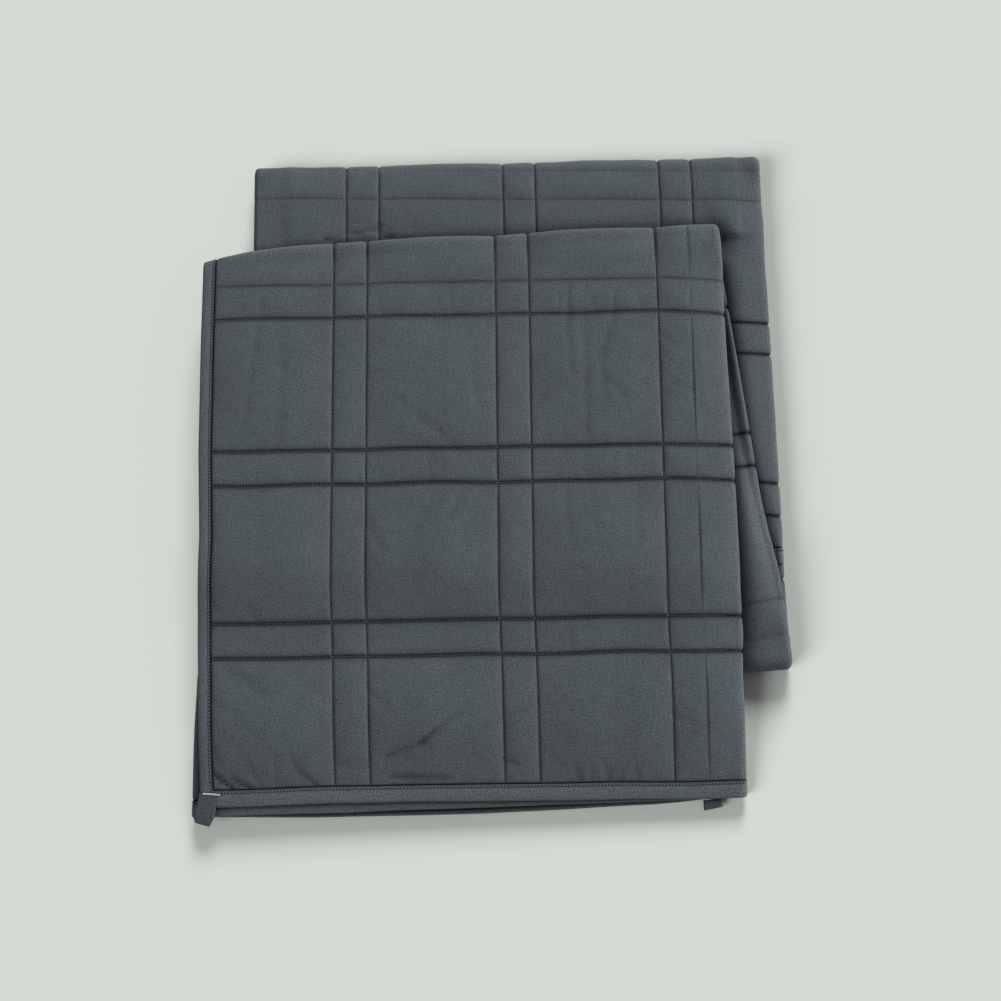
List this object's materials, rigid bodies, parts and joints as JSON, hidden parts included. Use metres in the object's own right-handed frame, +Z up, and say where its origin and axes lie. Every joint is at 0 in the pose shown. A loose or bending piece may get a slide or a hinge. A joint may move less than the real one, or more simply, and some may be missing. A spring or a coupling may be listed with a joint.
{
  "type": "folded weighted blanket",
  "caption": "Quilted weighted blanket with bound edges and corner loops, folded in thirds and then crosswise into a flat pile.",
  "frame": {"origin": "middle of the folded pile's footprint, on the surface that it lies on", "axes": "+Z up through the layers, +Y from the pile's near edge to its far edge, +X to the right"},
  "size_m": [0.5739, 0.6756, 0.0531],
  "materials": {
    "quilted_cloth": "matt woven cotton, dark slate grey",
    "binding_cloth": "matt woven cotton tape, dark slate grey",
    "loop_tape": "matt woven tape, darker slate grey",
    "pale_thread": "pale sewing thread in close satin stitches"
  },
  "bodies": {
    "root": {"quilted_panel": "quilted_cloth", "edge_binding": "binding_cloth", "loop_near_corner": "loop_tape", "loop_tucked_corner": "loop_tape", "bar_tack": "pale_thread"}
  },
  "joints": []
}
